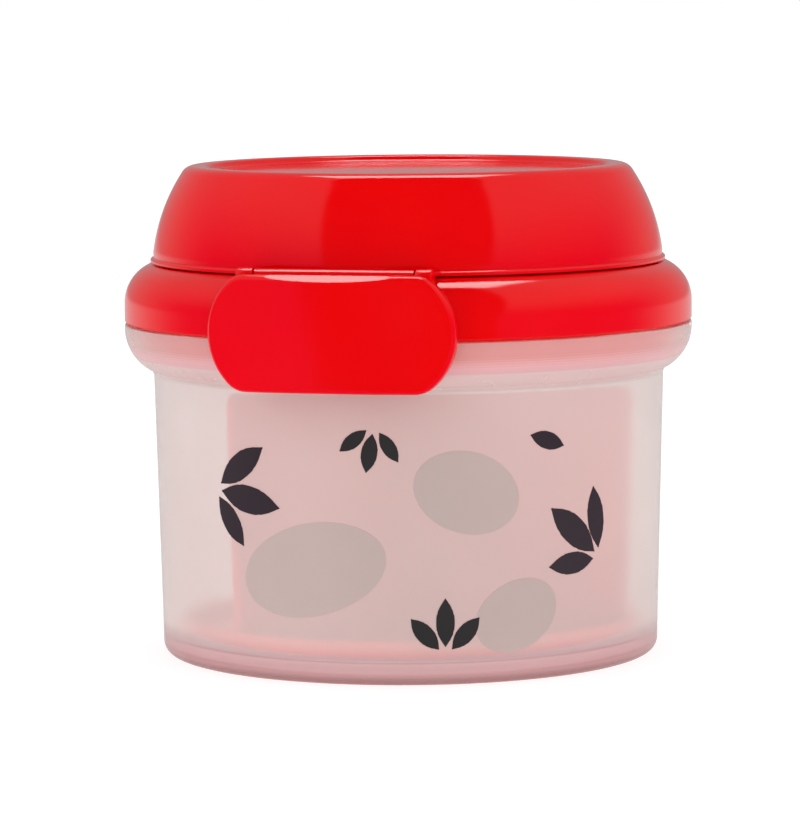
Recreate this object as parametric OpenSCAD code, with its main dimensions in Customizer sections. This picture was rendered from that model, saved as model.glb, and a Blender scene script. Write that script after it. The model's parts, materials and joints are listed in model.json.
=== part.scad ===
// Round snack container for a toddler: a frosted cup with a three-way divider, a turn-on collar that holds a
// soft slitted guard, and a flip lid with a hinged front latch. +Z is up, the latch faces -Y, and the origin is
// the centre of the base's underside.

/* [Cup] */
// Largest outer radius, shared by the cup's flared rim and the collar
outer_r = 51.05; // [46:0.05:60]
// How far the flared rim stands out past the cup wall
flare_out = 5.15; // [4.9:0.05:6]
// How much smaller the cup's outer radius is at its base than under the flared rim
wall_draft = 1.2; // [0:0.1:3]
// Height at which the flared rim leaves the cup wall
flare_z = 50.4; // [40:0.2:70]
// Height of the flared rim, from the wall to its lip
flare_h = 9.3; // [8.5:0.1:12]
// Thickness of the cup wall
wall = 2.05; // [1.5:0.05:2.4]
// Thickness of the flared rim
flare_wall = 1.6; // [1.2:0.05:1.8]
// Thickness of the floor
floor_t = 3.4; // [2.6:0.1:5]
// Radius of the rounded bottom edge, outside
base_round = 2.2; // [1:0.1:3]
// Radius of the rounded corner between floor and wall, inside
floor_round = 3.2; // [1.5:0.1:5]
// Height of the neck above the flared rim's lip
neck_h = 5.7; // [5.4:0.1:8]

/* [Collar] */
// Seam between the cup's lip and the collar, and between the collar and the lid
seam = 0.3; // [0.2:0.05:0.5]
// Height of the collar above the seam
collar_h = 10.4; // [10.1:0.1:13]
// Height of the collar's upright side, below its rounded shoulder
collar_side_h = 3.2; // [1.5:0.1:5]
// Thickness of the collar's roof over the neck
roof_t = 2.2; // [1.6:0.1:2.6]
// Depth that the collar's inner skirt reaches down behind the flared rim
skirt_depth = 4.7; // [3.5:0.1:5]
// Distance from the lid's outer radius in to the edge of the collar's hand opening
mouth_in = 4.65; // [4.4:0.05:7]
// Height of the raised ring round the hand opening
mouth_ring_h = 2.5; // [1.5:0.1:3.5]

/* [Turn lock] */
// Number of ridges on the neck, and of lugs in the collar
lock_starts = 4; // [3:1:4]
// Rise of the lock's helix in one full turn
lock_lead = 24; // [20:1:26]
// Angle that one neck ridge covers
ridge_angle = 75; // [50:1:80]
// Angle that one collar lug covers
lug_angle = 30; // [20:1:35]
// Height of a ridge or lug along the axis
ridge_h = 1.8; // [1.2:0.1:2]
// Bare gap between a ridge and the lug that seats under it
lock_gap = 0.35; // [0.3:0.05:0.5]

/* [Lid] */
// Height of the lid, from its lower edge to its top rim
lid_h = 17.2; // [14:0.2:26]
// Width of the collar's shoulder outside the lid
shoulder_w = 5.1; // [4.8:0.05:6.5]
// How far the lid's wall leans in from its foot to its rounded top edge
lid_lean = 5.25; // [4:0.05:8]
// Thickness of the lid's wall
lid_wall = 2; // [1.6:0.1:2.2]
// Thickness of the lid's top panel
lid_top_t = 1.9; // [1.4:0.1:3]
// Depth of the recess in the lid's top
recess_depth = 1.1; // [0.8:0.1:2]
// Width of the raised rim round the recess
rim_w = 1.5; // [1:0.1:3]

/* [Lid hinge] */
// Radius of the hinge barrel at the back
hinge_barrel_r = 2.4; // [2.1:0.1:2.5]
// Radius of the hinge pin
pin_r = 1; // [0.8:0.05:1.2]
// Length of the lid's knuckle between the two ears
knuckle_len = 14; // [8:0.5:18]
// Length of each ear of the collar
ear_len = 4.2; // [3:0.1:6]

/* [Latch] */
// Width of the latch's pad
pad_w = 43.4; // [38:0.2:46]
// Height of the latch's pad
pad_h = 20.1; // [18:0.1:21]
// Thickness of the latch's pad at its middle
pad_t = 2.8; // [2.4:0.1:3.6]
// Radius of the pad's bowed ends
pad_end_r = 14.3; // [12.5:0.1:18]
// Radius of the pad's rounded corners
pad_corner_r = 3; // [2:0.1:4]
// Radius of the pad's gentle bow, seen from above
pad_bow_r = 95; // [80:1:200]
// Slope of the bevel along the middle of the pad's top edge
brow_angle = 40; // [25:1:50]
// Width of that bevel
brow_w = 32; // [20:1:34]
// Length of the latch's barrel between the lid's two lugs
barrel_len = 28; // [22:0.5:32]
// Radius of the latch's barrel
barrel_r = 1.6; // [1.5:0.05:1.7]
// Width of each lug that carries the latch
lug_w = 2.95; // [2.6:0.05:4.5]
// Radius of the latch's two stub pins
stub_r = 0.85; // [0.7:0.05:0.95]

/* [Guard and seal] */
// Number of petals in the soft guard
petals = 8; // [4:2:10]
// Width of a slit between two petals
slit_w = 0.8; // [0.5:0.1:1.2]
// Distance from the guard's frame in to the ends of the slits
slit_end = 6.6; // [4:0.1:12]
// Thickness of the soft guard
guard_t = 1; // [0.8:0.1:1.4]
// Sag of the soft guard towards its centre
guard_sag = 3; // [1:0.1:4]
// Thickness of the frame that holds the guard
frame_t = 1.1; // [0.9:0.1:1.3]
// Thickness of the seal ring on the neck
seal_t = 1.3; // [1:0.1:1.5]

/* [Divider] */
// Number of wings
wings = 3; // [2:1:5]
// Direction of the first wing, counted from +X
wing_turn = -3.6; // [-60:0.1:60]
// Thickness of a wing
wing_t = 1.8; // [1.2:0.1:2.4]
// Height of the wings' top edge above the table
wing_top_z = 49.5; // [30:0.5:52]
// Gap between a wing's edge and the cup wall
wing_gap = 2.7; // [0.6:0.1:4]
// Thickness of the divider's tray
tray_t = 1.5; // [1.2:0.1:2]
// Height of the tray's low rim above the cup's floor
tray_rim_h = 4.2; // [3.4:0.1:8]
// Gap between the tray's rim and the cup wall
tray_gap = 1.3; // [0.5:0.1:2.5]

/* [Hidden] */

RED = [0.89, 0.02, 0.03];
FROSTED = [0.9, 0.86, 0.85];
SILICONE = [0.96, 0.93, 0.91];
STEEL = [0.75, 0.76, 0.78];
$fn = 120;

// Running gaps between pieces that move on each other
slide_gap = 0.35;    // soft or moulded faces that pass each other
pin_gap = 0.06;      // a pin in the bore that turns on it
pin_fit = 0.02;      // a pin in the bores that hold it
side_gap = 0.3;      // the faces beside a knuckle
bury = 0.4;          // how far an added rib reaches into the wall that carries it

// Radii of the cup wall and of the lid
wall_top_r = outer_r - flare_out;
base_r = wall_top_r - wall_draft;
lid_r = outer_r - shoulder_w;
lid_top_r = lid_r - lid_lean;
mouth_r = lid_r - mouth_in;

// Heights, from the table up
lip_z = flare_z + flare_h;
neck_z = lip_z + neck_h;
collar_z = lip_z + seam;
shoulder_z = collar_z + collar_side_h;
collar_top_z = collar_z + collar_h;
roof_z = collar_top_z - roof_t;
frame_z = roof_z - seam - frame_t;
seal_z = frame_z - seal_t;
lid_z = collar_top_z + seam;
lid_top_z = lid_z + lid_h;

// Radii of the turn lock, worked inwards from the flared rim and outwards from the neck
flare_in_r = outer_r - flare_wall;
skirt_out_r = flare_in_r - 0.25;
skirt_in_r = skirt_out_r - 1.2;
neck_r = wall_top_r - 0.05;
neck_in_r = neck_r - wall + 0.05;
lock_free = 0.55;    // radial room past a ridge's or a lug's crest
ridge_crest_r = skirt_in_r - lock_free;
lug_crest_r = neck_r + lock_free;
gutter_z = lip_z - 5.5;
ridge_z = gutter_z + 3.6;
seal_out_r = skirt_in_r - 1.4;

// Collar and lid radii
collar_top_r = lid_r + 0.45;
ring_r = lid_r - lid_wall - 0.95;

// Hinge at the back, clear of the lid's wall and the collar's shoulder
hinge_y = collar_top_r + 2.5;
hinge_z = lid_z + 1.3;
pin_len = knuckle_len + 2 * (side_gap + ear_len) - 0.2;

// Latch at the front
barrel_y = collar_top_r + 1.8;
lug_root_r = lid_r * 0.88;
barrel_z = lid_z - 0.1;
pad_in_y = outer_r + 0.55;
pad_z = lid_z + 0.7 - pad_h / 2;
pad_edge = 1.1;
catch_z = collar_z + 1.2;
catch_h = 1.2;
catch_w = 18;
catch_y = pad_in_y + 0.7;
pocket_d = 1.3;

// Guard frame
frame_in_r = mouth_r - 2.7;
guard_rim_r = frame_in_r + 0.8;
slit_r = frame_in_r - slit_end;

// Points of an arc from p to q that bows out by bulge on the right of the way from p to q
function bow(p, q, bulge, n = 10) =
    let (
        d = norm(q - p),
        r = (d * d / 4 + bulge * bulge) / (2 * abs(bulge)),
        along = (q - p) / d,
        right = [along[1], -along[0]] * sign(bulge),
        centre = (p + q) / 2 - right * (r - abs(bulge)),
        half = asin(min(1, d / 2 / r)) * (abs(bulge) > d / 2 ? -1 : 1)
    )
    [for (i = [0:n])
        let (a = -half + 2 * half * i / n)
        centre + right * (r * cos(a)) + along * (r * sin(a))];

// Points of a quarter-round from angle a0 to a1 about a centre
function arc(centre, r, a0, a1, n = 8) =
    [for (i = [0:n]) let (a = a0 + (a1 - a0) * i / n) centre + r * [cos(a), sin(a)]];

// Outer radius of the cup's wall at height z, with its draft
function wall_r(z) = base_r + (wall_top_r - base_r) * (z - base_round) / (flare_z - base_round);

// One helical rib of the turn lock: root and crest radii, start angle and height, angle covered, height of the
// rib. Its flanks slope, and its ends taper down to the root.
module helical_rib(root_r, crest_r, a0, z0, sweep_a, h, steps = 15) {
    flank = h * 0.3;
    function grow(i) = let (e = min(i, steps - i) / 2) min(1, 0.25 + 0.75 * e);
    points = [for (i = [0:steps])
        let (
            a = a0 + sweep_a * i / steps,
            z = z0 + lock_lead * sweep_a / 360 * i / steps,
            c = root_r + (crest_r - root_r) * grow(i)
        )
        each [for (p = [[root_r, z], [c, z + flank], [c, z + h - flank], [root_r, z + h]])
            [p[0] * cos(a), p[0] * sin(a), p[1]]]];
    side = crest_r > root_r ? [3, 2, 1, 0] : [0, 1, 2, 3];
    faces = concat(
        [side],
        [for (i = [0:steps - 1], k = [0:3])
            let (j = (k + 1) % 4, a = 4 * i + side[k], b = 4 * i + side[j])
            each [[a, a + 4, b + 4], [a, b + 4, b]]],
        [[for (k = [3:-1:0]) 4 * steps + side[k]]]
    );
    polyhedron(points, faces, convexity = 4);
}

// Section of the frosted cup: base with its stacking groove, drafted wall, flared rim with a gutter, and neck
module cup_section() {
    groove_in = lid_top_r - 5;
    groove_out = lid_top_r - 0.7;
    groove_d = recess_depth + 0.1;
    foot_r = base_r - base_round;
    flare_low = [wall_top_r + 1.35, flare_z + 1.5];
    side_top = [outer_r, lip_z - 0.8];
    gutter_r = neck_r + 1.5;
    polygon(concat(
        [[0, 0], [groove_in, 0], [groove_in + 0.4, groove_d], [groove_out - 0.4, groove_d], [groove_out, 0]],
        bow([foot_r, 0], [base_r, base_round], base_round * 0.29, 6),
        bow([wall_top_r, flare_z], flare_low, -0.3, 4),
        bow(flare_low, side_top, 1.03, 12),
        [[outer_r, lip_z - 0.35], [outer_r - 0.35, lip_z], [flare_in_r + 0.3, lip_z], [flare_in_r, lip_z - 0.3]],
        bow([flare_in_r, lip_z - 0.8], [gutter_r, gutter_z], -0.82, 8),
        [[neck_r + 0.5, gutter_z], [neck_r, gutter_z + 0.5], [neck_r, neck_z - 0.4], [neck_r - 0.4, neck_z]],
        [[neck_in_r + 0.3, neck_z], [neck_in_r, neck_z - 0.3], [neck_in_r, flare_z]],
        [[wall_r(floor_t + floor_round) - wall, floor_t + floor_round]],
        arc([wall_r(floor_t + floor_round) - wall - floor_round, floor_t + floor_round], floor_round, 0, -90, 8),
        [[0, floor_t]]
    ));
}

module cup() color(FROSTED) union() {
    rotate_extrude() cup_section();
    for (k = [0:lock_starts - 1])
        helical_rib(neck_r - bury, ridge_crest_r, k * 360 / lock_starts, ridge_z, ridge_angle, ridge_h);
}

// Divider: thin tray with a low rim, and upright wings that meet at a post
module divider() color(RED) union() {
    tray_r = wall_r(floor_t + tray_rim_h) - wall - tray_gap;
    turn_r = floor_round * 0.8;
    rotate_extrude() polygon(concat(
        [[0, floor_t]],
        arc([tray_r - turn_r, floor_t + turn_r], turn_r, -90, 0, 6),
        bow([tray_r, floor_t + tray_rim_h - 0.6], [tray_r - tray_t, floor_t + tray_rim_h - 0.6], 0.6, 6),
        arc([tray_r - turn_r, floor_t + turn_r + 0.2], turn_r - tray_t + 0.2, 0, -90, 4),
        [[0, floor_t + tray_t]]
    ));
    low_z = floor_t + tray_t / 2;
    low_r = wall_r(low_z) - wall - wing_gap;
    top_r = wall_r(wing_top_z) - wall - wing_gap;
    for (k = [0:wings - 1]) rotate([90, 0, wing_turn + k * 360 / wings])
        linear_extrude(wing_t, center = true) polygon(concat(
            [[0, low_z], [tray_r - tray_t / 2, low_z], [tray_r - tray_t / 2, floor_t + tray_rim_h - 1]],
            [[low_r, floor_t + tray_rim_h + 2]],
            arc([top_r - 2, wing_top_z - 2], 2, 0, 90, 6),
            [[0, wing_top_z]]
        ));
    translate([0, 0, low_z]) cylinder(h = wing_top_z + 1 - low_z, r = 2.6);
}

// Seal ring between the neck and the guard's frame
module seal_ring() color(SILICONE)
    rotate_extrude() translate([neck_in_r + 0.2, seal_z]) {
        w = seal_out_r - neck_in_r - 0.2;
        lip = seal_z - neck_z - 0.05;
        polygon([[0, 0], [w * 0.35, 0], [w * 0.5, -lip], [w * 0.65, 0], [w, 0], [w, seal_t - 0.05], [0, seal_t - 0.05]]);
    }

// Stiff frame of the guard, with an upright collar inside the mouth
module guard_frame() color(RED)
    rotate_extrude() polygon([
        [frame_in_r, frame_z], [seal_out_r, frame_z], [seal_out_r, frame_z + frame_t],
        [mouth_r - slide_gap, frame_z + frame_t], [mouth_r - slide_gap, collar_top_z - 0.3],
        [mouth_r - slide_gap - 0.3, collar_top_z], [mouth_r - 1.2, collar_top_z],
        [mouth_r - 1.5, collar_top_z - 0.3], [mouth_r - 1.5, frame_z + frame_t], [frame_in_r, frame_z + frame_t]
    ]);

// Soft guard: a dished disc with slits that meet at its centre, and a grooved rim that grips the frame
module finger_guard() color(SILICONE) difference() {
    rotate_extrude() difference() {
        sag_r = frame_in_r - 1;
        mid_z = frame_z + frame_t / 2;
        polygon(concat(
            [[0, mid_z - guard_sag - guard_t / 2]],
            bow([6, mid_z - guard_sag - guard_t / 2], [sag_r - 1, mid_z - guard_t / 2], 1.5, 12),
            bow([sag_r, frame_z - 0.5], [sag_r + 0.5, frame_z - 1], -0.15, 3),
            bow([guard_rim_r - 0.5, frame_z - 1], [guard_rim_r, frame_z - 0.5], 0.15, 3),
            bow([guard_rim_r, frame_z + frame_t + 0.5], [guard_rim_r - 0.5, frame_z + frame_t + 1], 0.15, 3),
            bow([sag_r + 0.5, frame_z + frame_t + 1], [sag_r, frame_z + frame_t + 0.5], 0.15, 3),
            bow([sag_r - 1, mid_z + guard_t / 2], [6, mid_z - guard_sag + guard_t / 2], -1.5, 12),
            [[0, mid_z - guard_sag + guard_t / 2]]
        ));
        translate([frame_in_r - 0.03, frame_z - 0.02]) square([5, frame_t + 0.04]);
    }
    for (k = [0:petals / 2 - 1]) rotate(k * 360 / petals)
        translate([-slit_r, -slit_w / 2, 0]) cube([2 * slit_r, slit_w, lid_top_z]);
    for (k = [0:petals - 1]) rotate(k * 360 / petals)
        translate([slit_r, 0, 0]) cylinder(h = lid_top_z, r = slit_w * 1.3, $fn = 24);
}

// Section of the collar: skirt behind the flared rim, upright side, rounded shoulder, roof and mouth ring
module collar_section() {
    skirt_z = collar_z - skirt_depth;
    inner_round = 2;
    polygon(concat(
        [[skirt_in_r, skirt_z], [skirt_in_r + 0.2, skirt_z], [skirt_out_r, skirt_z + 2.3], [skirt_out_r, collar_z]],
        [[outer_r - 0.3, collar_z], [outer_r, collar_z + 0.3]],
        bow([outer_r, shoulder_z], [collar_top_r + 0.3, collar_top_z - 0.2], 1.26, 14),
        [[collar_top_r, collar_top_z], [ring_r + 0.4, collar_top_z], [ring_r, collar_top_z + 0.4]],
        bow([ring_r, collar_top_z + mouth_ring_h - 1.6], [ring_r, collar_top_z + mouth_ring_h - 0.6], 0.3, 4),
        [[ring_r - 0.4, collar_top_z + mouth_ring_h], [mouth_r + 0.4, collar_top_z + mouth_ring_h]],
        [[mouth_r, collar_top_z + mouth_ring_h - 0.4], [mouth_r, roof_z]],
        arc([skirt_in_r - inner_round, roof_z - inner_round], inner_round, 90, 0, 6)
    ));
}

// Outline of a hinge barrel on a foot, seen along the hinge
module ear_outline(r) {
    translate([hinge_y, hinge_z]) circle(r);
    translate([hinge_y - r, shoulder_z]) square([2 * r - 1.2, hinge_z - shoulder_z]);
}

// Places a side outline, drawn as y and z, as a bar along X
module along_x(len, x = 0)
    translate([x, 0, 0]) rotate([90, 0, 90]) linear_extrude(len, center = true) children();

module collar() color(RED) difference() {
    union() {
        rotate_extrude() collar_section();
        for (k = [0:lock_starts - 1])
            helical_rib(skirt_in_r + bury, lug_crest_r, k * 360 / lock_starts + 5,
                ridge_z + lock_lead * 5 / 360 - lock_gap - ridge_h, lug_angle, ridge_h, 8);
        for (s = [-1, 1]) difference() {
            along_x(ear_len, s * (knuckle_len / 2 + side_gap + ear_len / 2)) ear_outline(hinge_barrel_r);
            cylinder(h = roof_z + 0.5, r = skirt_in_r + 0.5);
            cylinder(h = hinge_z + 2 * hinge_barrel_r, r = collar_top_r, $fn = 240);
        }
        // catch under the latch's pad
        along_x(catch_w) polygon([
            [-outer_r + 2, catch_z], [-catch_y, catch_z], [-catch_y, catch_z + 0.4],
            [-outer_r - 0.2, catch_z + catch_h], [-outer_r + 2, catch_z + catch_h]
        ]);
    }
    along_x(pin_len + 0.4) translate([hinge_y, hinge_z]) circle(pin_r + pin_fit, $fn = 48);
    // relief in the shoulder for the latch's barrel
    along_x(barrel_len) translate([-barrel_y, barrel_z]) circle(barrel_r + slide_gap);
}

module hinge_pin() color(STEEL)
    along_x(pin_len) translate([hinge_y, hinge_z]) circle(pin_r, $fn = 48);

// Section of the lid: bowed wall, rounded top edge, raised rim and recessed panel
module lid_section() {
    edge = [lid_top_r - 2.6, lid_top_z];
    rim_in = edge[0] - rim_w;
    inner_top_z = lid_top_z - recess_depth - lid_top_t;
    polygon(concat(
        [[lid_r - lid_wall, lid_z], [lid_r + 0.35, lid_z], [lid_r + 0.35, lid_z + 0.35]],
        bow([lid_r + 0.3, lid_z + 0.45], [lid_r - 0.13, lid_z + 1.5], -0.14, 5),
        bow([lid_r - 0.15, lid_z + 1.7], [lid_top_r, lid_top_z - 1.5], 0.83, 16),
        bow([lid_top_r - 0.15, lid_top_z - 1.25], edge, 0.42, 6),
        [[rim_in, lid_top_z], [rim_in - 0.5, lid_top_z - 0.25]],
        [[rim_in - 1.3, lid_top_z - recess_depth + 0.15], [rim_in - 2, lid_top_z - recess_depth]],
        [[0, lid_top_z - recess_depth], [0, inner_top_z]],
        bow([lid_top_r - 4.5, inner_top_z], [lid_top_r - 1.9, inner_top_z - 2], -0.6, 5),
        bow([lid_top_r - 1.8, inner_top_z - 2.4], [lid_r - lid_wall, lid_z + 1], -0.6, 10)
    ));
}

// A lug on the lid's front that carries one end of the latch
module latch_lug(s) {
    x = s * (barrel_len / 2 + side_gap + lug_w / 2);
    difference() {
        along_x(lug_w, x) {
            translate([-barrel_y, barrel_z]) circle(barrel_r + 0.15, $fn = 48);
            translate([-barrel_y, lid_z + 0.3]) square([barrel_y - lug_root_r, barrel_r * 0.45]);
        }
        cylinder(h = lid_top_z, r = lid_r - lid_wall / 2);
        along_x(lug_w, x - s * 0.7) translate([-barrel_y, barrel_z]) circle(stub_r + pin_gap, $fn = 48);
    }
}

module flip_lid() color(RED) union() {
    rotate_extrude() lid_section();
    for (s = [-1, 1]) latch_lug(s);
    // knuckle at the back
    difference() {
        along_x(knuckle_len) {
            translate([hinge_y, hinge_z]) circle(hinge_barrel_r);
            translate([lid_r - 2, lid_z + 0.35]) square([hinge_y - lid_r + 2, hinge_barrel_r + 0.6]);
        }
        along_x(knuckle_len + 1) translate([hinge_y, hinge_z]) circle(pin_r + pin_gap, $fn = 48);
        cylinder(h = lid_top_z, r = lid_r - lid_wall / 2);
    }
}

// How far the pad's bow has fallen back at a distance x from its middle
function pad_fall(x) = pad_bow_r - sqrt(pad_bow_r * pad_bow_r - x * x);

// Upper half of the pad's outline from its right end to its left end, drawn in by inset: bowed ends, rounded
// corners and a straight top. The arcs keep their centres at every inset.
function pad_top_line(inset) =
    let (
        end_x = pad_w / 2 - pad_end_r,
        corner_z = pad_h / 2 - pad_corner_r,
        corner_x = end_x + sqrt(pow(pad_end_r - pad_corner_r, 2) - corner_z * corner_z),
        a = atan2(corner_z, corner_x - end_x),
        right = concat(
            arc([end_x, 0], pad_end_r - inset, 0, a, 6),
            arc([corner_x, corner_z], pad_corner_r - inset, a + (90 - a) / 4, 90, 3)
        ),
        last = len(right) - 1,
        top = [for (i = [1:15]) [corner_x * (1 - i / 8), pad_h / 2 - inset]]
    )
    concat(right, top, [for (i = [last:-1:0]) [-right[i][0], right[i][1]]]);

// Pad of the latch: bowed like the collar, of even thickness, with rounded edges and a bevel along its top
module pad() {
    rounds = 5;
    layers = concat(
        [[0.4, 0], [0, 0.4]],
        [for (i = [0:rounds]) let (a = 90 * i / rounds)
            [pad_edge * (1 - cos(a)), pad_t - pad_edge * (1 - sin(a))]]
    );
    m = len(pad_top_line(0)) - 1;
    n = 2 * m;
    points = [for (l = layers)
        let (top = pad_top_line(l[0]), line = concat(top, [for (i = [m - 1:-1:1]) [top[i][0], -top[i][1]]]))
        each [for (p = line) [p[0], -pad_in_y + pad_fall(p[0]) - l[1], pad_z + p[1]]]];
    front = (len(layers) - 1) * n;
    faces = concat(
        [for (k = [0:len(layers) - 2], i = [0:n - 1])
            let (j = (i + 1) % n, a = k * n)
            each [[a + i, a + n + j, a + j], [a + i, a + n + i, a + n + j]]],
        [for (i = [0:m - 1])
            let (low = (n - i) % n, low_next = n - i - 1)
            i == 0 ? [front, front + low_next, front + 1]
                : i == m - 1 ? [front + i, front + low, front + m]
                : [front + i, front + low, front + low_next, front + i + 1]],
        [for (i = [0:m - 1])
            let (low = (n - i) % n, low_next = n - i - 1)
            i == 0 ? [0, 1, low_next]
                : i == m - 1 ? [i, m, low]
                : [i, i + 1, low_next, low]]
    );
    brow_y = -pad_in_y - pad_t + pad_fall(brow_w / 2);
    difference() {
        polyhedron(points, faces, convexity = 4);
        translate([-pad_w / 2, brow_y, pad_z + pad_h / 2]) rotate([brow_angle, 0, 0])
            translate([0, -2 * pad_t, 0]) cube([pad_w, 2 * pad_t, pad_t]);
    }
}

// Latch: barrel and stub pins held by the lid's lugs, arm over the shoulder, pad with a hollow back and a hook
module latch() color(RED) union() {
    difference() {
        pad();
        pocket_low = pad_z - pad_h / 2 - 1;
        pocket_top = barrel_z - 2.6;
        translate([-catch_w / 2 - 1.2, -pad_in_y - pocket_d, pocket_low])
            cube([catch_w + 2.4, pocket_d + 1, pocket_top - pocket_low]);
    }
    along_x(barrel_len) {
        translate([-barrel_y, barrel_z]) circle(barrel_r, $fn = 48);
        polygon([
            [-barrel_y, barrel_z - barrel_r + 0.2], [-pad_in_y - 1, barrel_z - barrel_r + 0.2],
            [-pad_in_y - 1, barrel_z + 0.2], [-barrel_y, barrel_z + 0.2]
        ]);
    }
    along_x(barrel_len + 2 * side_gap + 2 * lug_w - 1.8)
        translate([-barrel_y, barrel_z]) circle(stub_r, $fn = 48);
    // hook below the catch
    along_x(catch_w - 1) polygon([
        [-pad_in_y - pocket_d - bury, catch_z - 1.4], [-catch_y - 0.45, catch_z - 1.4],
        [-catch_y - 0.1, catch_z - 1], [-catch_y - 0.1, catch_z - 0.4], [-pad_in_y - pocket_d - bury, catch_z - 0.4]
    ]);
}

cup();
divider();
seal_ring();
guard_frame();
finger_guard();
collar();
hinge_pin();
flip_lid();
latch();
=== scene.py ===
"""A round snack container for a toddler, dressed on its fixed frame as in a studio photograph.

Everything is in metres, +Z up, with the latch towards -Y. The pieces' own sizes are named in
millimetres.
"""

import json
import math

import bpy
from mathutils import Matrix, Vector

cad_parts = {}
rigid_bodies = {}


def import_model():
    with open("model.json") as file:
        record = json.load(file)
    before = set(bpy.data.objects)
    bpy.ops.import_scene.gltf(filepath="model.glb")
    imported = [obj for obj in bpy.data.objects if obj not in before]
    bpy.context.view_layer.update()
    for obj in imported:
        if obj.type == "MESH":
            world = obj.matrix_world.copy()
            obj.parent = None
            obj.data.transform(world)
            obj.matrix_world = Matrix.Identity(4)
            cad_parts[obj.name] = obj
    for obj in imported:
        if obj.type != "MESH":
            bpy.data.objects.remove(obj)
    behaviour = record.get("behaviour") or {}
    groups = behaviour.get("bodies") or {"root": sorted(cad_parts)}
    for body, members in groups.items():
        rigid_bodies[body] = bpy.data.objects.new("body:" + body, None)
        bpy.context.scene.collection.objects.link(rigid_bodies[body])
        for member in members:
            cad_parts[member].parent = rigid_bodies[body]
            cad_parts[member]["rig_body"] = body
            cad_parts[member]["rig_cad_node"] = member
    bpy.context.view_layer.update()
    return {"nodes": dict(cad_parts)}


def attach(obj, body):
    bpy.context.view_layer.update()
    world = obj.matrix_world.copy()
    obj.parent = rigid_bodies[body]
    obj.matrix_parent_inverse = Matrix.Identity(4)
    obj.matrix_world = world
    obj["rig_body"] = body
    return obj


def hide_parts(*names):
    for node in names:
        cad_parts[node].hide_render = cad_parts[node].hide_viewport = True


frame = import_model()
bpy.ops.object.select_all(action="DESELECT")

# --------------------------------------------------------------------------------------------------
# Camera: a long lens a little above the container, turned to the right of the latch, and leaning a
# little, as the photograph does.

MM = 0.001
LENS, SENSOR_WIDTH = 195.5, 36
CAMERA_AWAY, CAMERA_HEIGHT = 800 * MM, 123.6 * MM
CAMERA_TURN, LOOK_DOWN = math.radians(14.9), math.radians(5.72)
AIM_LEFT, LEAN = math.radians(0.116), math.radians(-0.45)
NEAREST, FARTHEST = 0.05, 50

bpy.ops.object.camera_add(
    location=(
        CAMERA_AWAY * math.sin(CAMERA_TURN), -CAMERA_AWAY * math.cos(CAMERA_TURN), CAMERA_HEIGHT
    ),
    rotation=(math.pi / 2 - LOOK_DOWN, 0, CAMERA_TURN + AIM_LEFT),
)
camera = bpy.context.object
camera.name = "camera"
bpy.context.view_layer.update()
camera.matrix_world = camera.matrix_world @ Matrix.Rotation(LEAN, 4, "Z")
camera.data.lens = LENS
camera.data.sensor_width = SENSOR_WIDTH
camera.data.clip_start, camera.data.clip_end = NEAREST, FARTHEST
bpy.context.scene.camera = camera

# --------------------------------------------------------------------------------------------------
# Studio: a pale sweep that glows a little, so that it stays white, and a bright surround. Gloss
# sees a dark gap round the camera between two tall soft boxes that lean over the container, a
# white backdrop, and a bright panel overhead and behind.

ROOM_LIGHT = 1.0
BOX_LEAN_BACK, BOX_LEAN_UP = 0.726, 0.268
BOX_LOW, BOX_HIGH = (0.3, 0.04, 0.22, 1), (0.56, 0.5, 0.52, 1)
BOX_SHADES_FROM, BOX_SHADES_TO = 0.05, 0.7
BACKDROP_GLOW, BACKDROP_FROM, BACKDROP_TO = 0.35, 0.1, 0.8
GROUND_GLOW, GROUND_FROM, GROUND_TO = 0.65, 0.02, -0.05
PANEL_GLOW, PANEL_HALF_WIDTH = 7.0, 0.3
PANEL_START, PANEL_END, PANEL_LOW_FROM, PANEL_LOW_TO = 0.05, 0.45, 0.4, 0.5
SOFT_EDGE = 0.03
FLOOR_SIZE, FLOOR_PAINT, FLOOR_GLOW = 12, 0.5, 0.66
BOUNCES, BOUNCES_THROUGH = 16, 12

scene = bpy.context.scene
scene.view_settings.view_transform = "Standard"
scene.view_settings.look = "None"
scene.cycles.max_bounces = BOUNCES
scene.cycles.transmission_bounces = BOUNCES_THROUGH
scene.cycles.transparent_max_bounces = BOUNCES


def number(tree, operation, *values):
    """A math node; each value is a socket or a plain number."""
    node = tree.nodes.new("ShaderNodeMath")
    node.operation = operation
    for socket, value in zip(node.inputs, values):
        if isinstance(value, (int, float)):
            socket.default_value = value
        else:
            tree.links.new(value, socket)
    return node.outputs["Value"]


def ramp(tree, value, start, end, low=0.0, high=1.0):
    """Runs smoothly from low to high as value goes from start to end."""
    node = tree.nodes.new("ShaderNodeMapRange")
    node.interpolation_type = "SMOOTHSTEP"
    for name, setting in (
        ("From Min", start), ("From Max", end), ("To Min", low), ("To Max", high)
    ):
        node.inputs[name].default_value = setting
    tree.links.new(value, node.inputs["Value"])
    return node.outputs["Result"]


def mirrored(tree):
    """One for a ray that gloss sends out, and nothing for every other ray."""
    rays = tree.nodes.new("ShaderNodeLightPath")
    outside = number(tree, "SUBTRACT", 1, rays.outputs["Is Transmission Ray"])
    return number(tree, "MULTIPLY", rays.outputs["Is Glossy Ray"], outside)


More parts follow.
